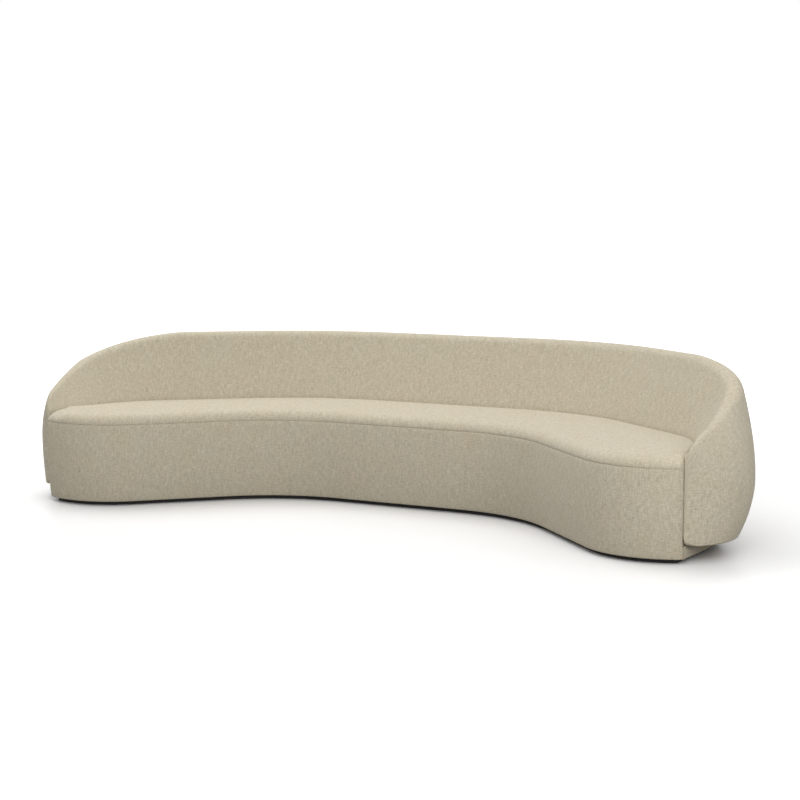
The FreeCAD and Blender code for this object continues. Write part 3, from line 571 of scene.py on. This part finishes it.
BACK_HEIGHT = 0.770
ARM_FRONT_HEIGHT = 0.418
NOSE_RISE, NOSE_LENGTH = 0.075, 0.075
SLOPE_LENGTH, SLOPE_EASE = 0.800, 1.15
ARM_WIDTH, ARM_END_WIDTH = 0.252, 0.022
SWELL_LENGTH, BLEND_LENGTH = 0.282, 0.850
RIDGE_OFFSET, RIDGE_END_OFFSET = 0.160, 0.0105
RIDGE_SWELL = 0.500
RIDGE_RADIUS, RIDGE_END_RADIUS = 0.045, 0.0085
BELLY_HEIGHT = 0.301
SHELL_BOTTOM = 0.074
SHELL_TUCK, SHELL_END_TUCK, TUCK_LENGTH = 0.074, 0.013, 0.350
HEM_RADIUS, HEM_END_RADIUS = 0.018, 0.005
FOOT_HEIGHT, LEAN_LEAST, LEAN_CLEAR = 0.318, 0.002, 0.004
LIP_LENGTH, LIP_THICKNESS, LIP_LEAST, LIP_INSIDE = 0.025, 0.0025, 0.0005, 0.110
ARM_FRONT_ROUND = 0.005
ARM_CORNER_ROUND = 0.028
ARM_CLOSE_IN, ARM_CLOSE_LENGTH = 0.0032, 0.150
ARM_FORWARD = 0.004
BACK_SPACING = 0.0125
BACK_CLOSE = (0.0008, 0.002, 0.0035, 0.005, 0.0075, 0.011, 0.015, 0.021, 0.028)


def nose(share, power):
    """A rounded rise from 0 to 1, steepest at its start."""
    inner = 1.0 - min(max(share, 0.0), 1.0)
    return (1.0 - inner * inner) ** power


def arc_points(centre, radius, start, end, count):
    """Points on an arc, without its first."""
    angles = [start + (end - start) * k / count for k in range(1, count + 1)]
    return [(centre[0] + radius * math.cos(a), centre[1] + radius * math.sin(a)) for a in angles]


def shell_outline(from_end, inset, bottom):
    """Offsets and heights round the shell, from the hidden foot of the inner face to the hem's lip."""
    swell = nose(from_end / SWELL_LENGTH, 0.75)
    ridge_swell = nose(from_end / RIDGE_SWELL, 0.75)
    blend = ease((from_end - SWELL_LENGTH) / (BLEND_LENGTH - SWELL_LENGTH))
    slope = math.sin(math.pi / 2.0 * min(from_end / SLOPE_LENGTH, 1.0)) ** SLOPE_EASE
    rise = NOSE_RISE * nose(from_end / NOSE_LENGTH, 0.5)
    width = ARM_END_WIDTH + (ARM_WIDTH - ARM_END_WIDTH) * swell - (ARM_WIDTH - BACK_WIDTH) * blend
    ridge = RIDGE_END_RADIUS + (RIDGE_RADIUS - RIDGE_END_RADIUS) * ridge_swell
    ridge_o = RIDGE_END_OFFSET + (RIDGE_OFFSET - RIDGE_END_OFFSET) * ridge_swell
    ridge_z = ARM_FRONT_HEIGHT + rise + (BACK_HEIGHT - ARM_FRONT_HEIGHT - NOSE_RISE) * slope - ridge
    hem = HEM_END_RADIUS + (HEM_RADIUS - HEM_END_RADIUS) * ridge_swell
    lean_z = min(SEAT_HEIGHT, ridge_z - LEAN_LEAST)
    out, up = width - ridge_o, ridge_z - BELLY_HEIGHT
    outer = (out ** 2 + up ** 2 - ridge ** 2) / (2.0 * (out - ridge))
    tuck = SHELL_END_TUCK + (SHELL_TUCK - SHELL_END_TUCK) * min(from_end / TUCK_LENGTH, 1.0)
    drop = BELLY_HEIGHT - SHELL_BOTTOM
    lower = (drop ** 2 + tuck ** 2) / (2.0 * tuck)
    hem_o = width - lower + math.sqrt((lower - hem) ** 2 - (drop - hem) ** 2)
    reach = math.hypot(ridge_o, ridge_z - lean_z)
    lean = math.atan2(ridge_z - lean_z, ridge_o) + math.asin(ridge / reach)
    start = lean_z - inset * (1.0 - math.sin(lean)) / math.cos(lean)
    points = [(inset, FOOT_HEIGHT), (inset, (FOOT_HEIGHT + start) / 2.0), (inset, start - LEAN_CLEAR)]
    crest = lean + math.pi / 2.0
    first_o = ridge_o + (ridge - inset) * math.cos(crest)
    first_z = ridge_z + (ridge - inset) * math.sin(crest)
    for step in range(1, 17):
        share = step / 16
        points.append((inset + (first_o - inset) * share, start + (first_z - start) * share))
    top = math.atan2(up, ridge_o - width + outer)
    points += arc_points((ridge_o, ridge_z), ridge - inset, crest, top, 14)
    points += arc_points((width - outer, BELLY_HEIGHT), outer - inset, top, 0.0, 18)
    hem_start = math.atan2(SHELL_BOTTOM + hem - BELLY_HEIGHT, hem_o - width + lower)
    points += arc_points((width - lower, BELLY_HEIGHT), lower - inset, 0.0, hem_start, 12)
    points += arc_points((hem_o, SHELL_BOTTOM + hem), hem - inset, hem_start, -math.pi / 2.0, 6)
    lip = hem_o - max(min(LIP_LENGTH, hem_o - HEM_END_RADIUS), LIP_LEAST)
    lip_z = SHELL_BOTTOM + inset
    points += [(lip, lip_z), (lip, lip_z + LIP_THICKNESS), (inset + FOLD_CLEAR, LIP_INSIDE)]
    return [(o, bottom + (z - SHELL_BOTTOM) * 0.2 if z < bottom else z) for o, z in points]


def shell_ring(side, distance):
    """One ring of the shell, rounded in at the arm's front and at its bottom corner."""
    from_end = BACK_LENGTH - distance
    near = max(ARM_FRONT_ROUND - from_end, 0.0)
    inset = ARM_FRONT_ROUND - math.sqrt(ARM_FRONT_ROUND ** 2 - near ** 2)
    near = max(ARM_CORNER_ROUND - from_end, 0.0)
    bottom = SHELL_BOTTOM + ARM_CORNER_ROUND - math.sqrt(ARM_CORNER_ROUND ** 2 - near ** 2)
    point, away = back_at(side, distance)
    closing = max(1.0 - from_end / ARM_CLOSE_LENGTH, 0.0)
    point += Vector((side * away.y, -side * away.x, 0.0)) * ARM_FORWARD * closing
    point -= away * ARM_CLOSE_IN * closing
    return [point + away * o + Vector((0.0, 0.0, z)) for o, z in shell_outline(from_end, inset, bottom)]


back_places = both_ways(BACK_LENGTH, BACK_SPACING, BACK_CLOSE)
back_shell = skin("back_shell", shell_ring, back_places, heathered_linen)
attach(back_shell, "root")
covered = ["back_cover", "back_foam"]
covered += [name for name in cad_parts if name.startswith(("arm_front_panel", "arm_end_foam"))]
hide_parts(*covered)


# The base band: fabric glued over the rim of the base at the back and at both ends, below
# the shell, turned in under the base board like the front.

BASE_FLARE, BASE_MARGIN, BASE_START = 0.3, 0.125, 0.0015
BASE_EDGE_LEAST = 0.0024
BASE_TOP, BASE_MIDDLE = 0.0737, 0.045
BASE_LIP, BASE_TURN, BASE_CLOTH = 0.024, 0.004, 0.0025


def base_ring(side, distance):
    """The band's outline in offset and height."""
    edge = max(min(BASE_MARGIN, BASE_FLARE * (BACK_LENGTH - distance)), BASE_EDGE_LEAST)
    inner, inside = edge - BASE_CLOTH, PLINTH_TOP + BASE_CLOTH
    point, away = back_at(side, distance)
    outline = [(edge - BASE_LIP, inside), (edge - BASE_LIP, PLINTH_TOP)]
    outline += arc_points((edge - BASE_TURN, PLINTH_TOP + BASE_TURN), BASE_TURN, -math.pi / 2.0, 0.0, 4)
    outline += [(edge, BASE_MIDDLE), (edge, BASE_TOP)]
    outline += [(inner, BASE_TOP), (inner, BASE_MIDDLE), (inner, inside)]
    return [point + away * o + Vector((0.0, 0.0, z)) for o, z in outline]


base_places = both_ways(BACK_LENGTH - BASE_START, BACK_SPACING)
base_wrap = skin("base_wrap", base_ring, base_places, heathered_linen)
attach(base_wrap, "root")
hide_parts("base_band")


# The studio: a pale sweep with a painted glow, seen only by the camera, that grows brighter away from the
# sofa, a dim sky that is brighter overhead, a soft key light from above and behind at the left, and two fills
# from the front.
# The camera and gloss see a white surround instead of the sky.

GLOW_START, GLOW_FULL, GLOW_STRENGTH = 1.9, 4.5, 0.5
SKY_LOW, SKY_HIGH = 0.14, 1.05

white_floor, tree, shader = new_material("white_studio_sweep")
rays = add(tree, "ShaderNodeLightPath")
in_camera = rays.outputs["Is Camera Ray"]
tree.links.new(two_tone(tree, in_camera, linear("#a9a9a9"), linear("#f8f8f8")), shader.inputs["Base Color"])
# Painted glow: the floor gives off light of its own, for camera rays only, from none at 1.9 m from the middle
# to full at 4.5 m, so the floor far from the sofa shows white.
spread = add(tree, "ShaderNodeVectorMath", {"operation": "LENGTH"}, i0=object_place(tree)).outputs["Value"]
outer_glow = add(
    tree, "ShaderNodeMapRange", Value=spread, i1=GLOW_START, i2=GLOW_FULL, i3=0.0, i4=GLOW_STRENGTH
).outputs[0]
glow = add(tree, "ShaderNodeMath", {"operation": "MULTIPLY"}, i0=in_camera, i1=outer_glow).outputs[0]
shader.inputs["Emission Color"].default_value = linear("#ffffff")
tree.links.new(glow, shader.inputs["Emission Strength"])
shader.inputs["Roughness"].default_value = 0.35
shader.inputs["Specular IOR Level"].default_value = 0.35
mesh = bpy.data.meshes.new("floor")
reach = 40.0
corners = [(-reach, -reach, 0.0), (reach, -reach, 0.0), (reach, reach, 0.0), (-reach, reach, 0.0)]
mesh.from_pydata(corners, [], [(0, 1, 2, 3)])
mesh.materials.append(white_floor)
floor = bpy.data.objects.new("floor", mesh)
bpy.context.scene.collection.objects.link(floor)


def lamp(name, place, aim, size, power):
    """A soft rectangular studio light."""
    light = bpy.data.lights.new(name, "AREA")
    light.shape = "RECTANGLE"
    light.size, light.size_y = size
    light.energy = power
    made = bpy.data.objects.new(name, light)
    made.location = place
    made.rotation_euler = (Vector(aim) - Vector(place)).to_track_quat("-Z", "Y").to_euler()
    bpy.context.scene.collection.objects.link(made)


lamp("key", (-3.0, 1.0, 5.5), (0.0, 0.0, 0.3), (4.5, 4.5), 175.0)
lamp("right_fill", (5.0, -3.5, 3.0), (0.8, 0.0, 0.3), (3.0, 3.0), 85.0)
lamp("front_fill", (2.5, -6.5, 3.2), (0.0, 0.0, 0.4), (4.0, 3.0), 115.0)

world = bpy.data.worlds.new("surround")
bpy.context.scene.world = world
world.use_nodes = True
tree = world.node_tree
tree.nodes.clear()
rays = add(tree, "ShaderNodeLightPath")
direct = sum_of(rays.outputs["Is Camera Ray"], rays.outputs["Is Glossy Ray"], "MAXIMUM")
seen = sum_of(direct, rays.outputs["Is Transmission Ray"], "MAXIMUM")
direction = add(tree, "ShaderNodeTexCoord").outputs["Generated"]
upward = add(tree, "ShaderNodeSeparateXYZ", Vector=direction).outputs["Z"]
level = add(tree, "ShaderNodeMapRange", Value=upward, i1=0.0, i2=1.0, i3=SKY_LOW, i4=SKY_HIGH).outputs[0]
dim = add(tree, "ShaderNodeBackground", Color=linear("#ffffff"), Strength=level)
bright = add(tree, "ShaderNodeBackground", Color=linear("#ffffff"), Strength=1.0)
pick = add(tree, "ShaderNodeMixShader", Fac=seen, i1=dim.outputs[0], i2=bright.outputs[0])
add(tree, "ShaderNodeOutputWorld", Surface=pick.outputs[0])

bpy.context.scene.view_settings.view_transform = "Standard"

# The camera stands to the right of the middle, a little above the back, and looks slightly down.
camera_data = bpy.data.cameras.new("camera")
camera_data.sensor_width = 36.0
camera_data.lens = 76.86
camera = bpy.data.objects.new("camera", camera_data)
bpy.context.scene.collection.objects.link(camera)
camera.location = (3.7045, -7.0902, 1.457)
pitch = math.radians(6.755)
ahead = Vector((-0.4645 * math.cos(pitch), 0.8856 * math.cos(pitch), -math.sin(pitch)))
camera.rotation_euler = ahead.to_track_quat("-Z", "Y").to_euler()
bpy.context.scene.camera = camera
